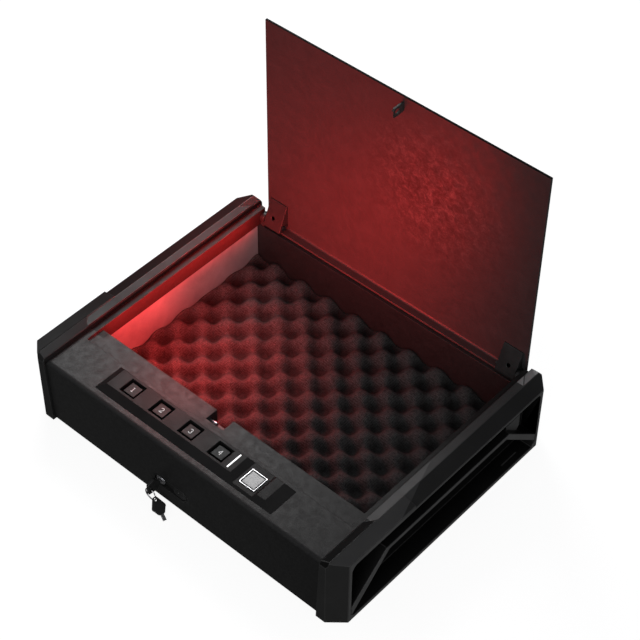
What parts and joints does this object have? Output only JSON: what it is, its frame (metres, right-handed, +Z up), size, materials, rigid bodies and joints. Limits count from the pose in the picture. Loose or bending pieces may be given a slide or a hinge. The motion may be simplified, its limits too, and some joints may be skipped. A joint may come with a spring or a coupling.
{
  "type": "bedside gun safe with keypad and fingerprint sensor",
  "caption": "Low black steel handgun safe with an upright open lid, keypad bar, fingerprint sensor, egg-crate foam, key override lock and angular plastic end caps.",
  "frame": {"origin": "centre of the bounding box in X and Y, on the plane the safe stands on", "axes": "+X along the front to the viewer's right, +Y towards the hinge, +Z up"},
  "size_m": [0.37, 0.3042, 0.295],
  "materials": {
    "body_steel": "satin",
    "lid_steel": "satin",
    "cap_plastic": "matte",
    "black_metal": "satin",
    "black_rubber": "matte",
    "foam": "matte",
    "liner": "matte",
    "lamp": "satin",
    "steel": "satin",
    "zinc": "polished",
    "bezel_plastic": "satin",
    "key_plastic": "satin",
    "led_white": "gloss",
    "sensor_chrome": "polished",
    "sensor_glass": "gloss",
    "board_green": "satin",
    "chip_black": "matte",
    "cell_sleeve": "gloss",
    "coil_brown": "satin",
    "cable_grey": "matte"
  },
  "bodies": {
    "safe": {"body_shell": "body_steel", "base_plate": "body_steel", "left_end_cap": "cap_plastic", "right_end_cap": "cap_plastic", "end_cap_screws": "black_metal", "rubber_feet": "black_rubber", "inner_partition": "body_steel", "side_liner_left": "liner", "side_liner_right": "liner", "foam_pad": "foam", "light_strip": "lamp", "hinge_lugs": "black_metal", "hinge_pins": "black_metal", "lid_springs": "steel", "keypad_bezel": "bezel_plastic", "led_bar": "led_white", "sensor_frame": "sensor_chrome", "sensor_pad": "sensor_glass", "keypad_board": "board_green", "tact_switches": "black_metal", "keyhole_dish": "cap_plastic", "lock_barrel": "zinc", "lock_nut": "zinc", "latch_housing": "black_metal", "latch_solenoid": "coil_brown", "battery_tray": "cap_plastic", "battery_cells": "cell_sleeve", "control_board": "board_green", "board_parts": "chip_black", "ribbon_cable": "cable_grey"},
    "lid": {"lid_panel": "lid_steel", "lid_striker": "lid_steel", "hinge_bracket_left": "black_metal", "hinge_bracket_right": "black_metal", "bracket_screws": "black_metal"},
    "button_1": {"key_1": "key_plastic"},
    "button_2": {"key_2": "key_plastic"},
    "button_3": {"key_3": "key_plastic"},
    "button_4": {"key_4": "key_plastic"},
    "plug": {"lock_plug": "zinc", "lock_cam": "steel"},
    "door_key": {"key_blade": "zinc", "key_bow": "cap_plastic"},
    "ring": {"key_ring": "zinc"},
    "spare_key": {"spare_key_blade": "zinc", "spare_key_bow": "cap_plastic"},
    "latch": {"latch_bolt": "steel", "bolt_carriage": "steel"},
    "cover": {"keyhole_cover": "cap_plastic"},
    "battery_hatch": {"battery_door": "cap_plastic"}
  },
  "joints": [
    {"name": "lid_hinge", "type": "hinge", "parent": "safe", "child": "lid", "pos_m": [0, 0.1431, 0.0645], "axis": [1, 0, 0], "range_deg": [0, 90]},
    {"name": "press_1", "type": "slide", "parent": "safe", "child": "button_1", "axis": [0, 0, -1], "range_m": [0, 0.0008], "stiffness_N_per_m": 300, "springref_m": -0.001},
    {"name": "press_2", "type": "slide", "parent": "safe", "child": "button_2", "axis": [0, 0, -1], "range_m": [0, 0.0008], "stiffness_N_per_m": 300, "springref_m": -0.001},
    {"name": "press_3", "type": "slide", "parent": "safe", "child": "button_3", "axis": [0, 0, -1], "range_m": [0, 0.0008], "stiffness_N_per_m": 300, "springref_m": -0.001},
    {"name": "press_4", "type": "slide", "parent": "safe", "child": "button_4", "axis": [0, 0, -1], "range_m": [0, 0.0008], "stiffness_N_per_m": 300, "springref_m": -0.001},
    {"name": "lock_turn", "type": "hinge", "parent": "safe", "child": "plug", "pos_m": [-0.024, -0.1179, 0.0231], "axis": [0, 1, 0], "range_deg": [0, 90]},
    {"name": "key_draw", "type": "slide", "parent": "plug", "child": "door_key", "axis": [0, -1, 0], "range_m": [0, 0.03]},
    {"name": "ring_swing", "type": "hinge", "parent": "door_key", "child": "ring", "pos_m": [-0.024, -0.1437, 0.0212], "axis": [1, 0, 0], "range_deg": [-35, 0]},
    {"name": "spare_key_swing", "type": "hinge", "parent": "ring", "child": "spare_key", "pos_m": [-0.0188, -0.1437, 0.01162], "axis": [0.5446, 0, 0.8387], "range_deg": [-30, 0]},
    {"name": "latch_slide", "type": "slide", "parent": "safe", "child": "latch", "axis": [1, 0, 0], "range_m": [0, 0.01]},
    {"name": "cover_slide", "type": "slide", "parent": "safe", "child": "cover", "axis": [-1, 0, 0], "range_m": [0, 0.009]},
    {"name": "battery_hatch_slide", "type": "slide", "parent": "safe", "child": "battery_hatch", "axis": [1, 0, 0], "range_m": [0, 0.015]}
  ],
  "couplings": [
    {"joint": "lock_turn", "follows": "latch_slide", "rad_per_m": 157.07}
  ]
}
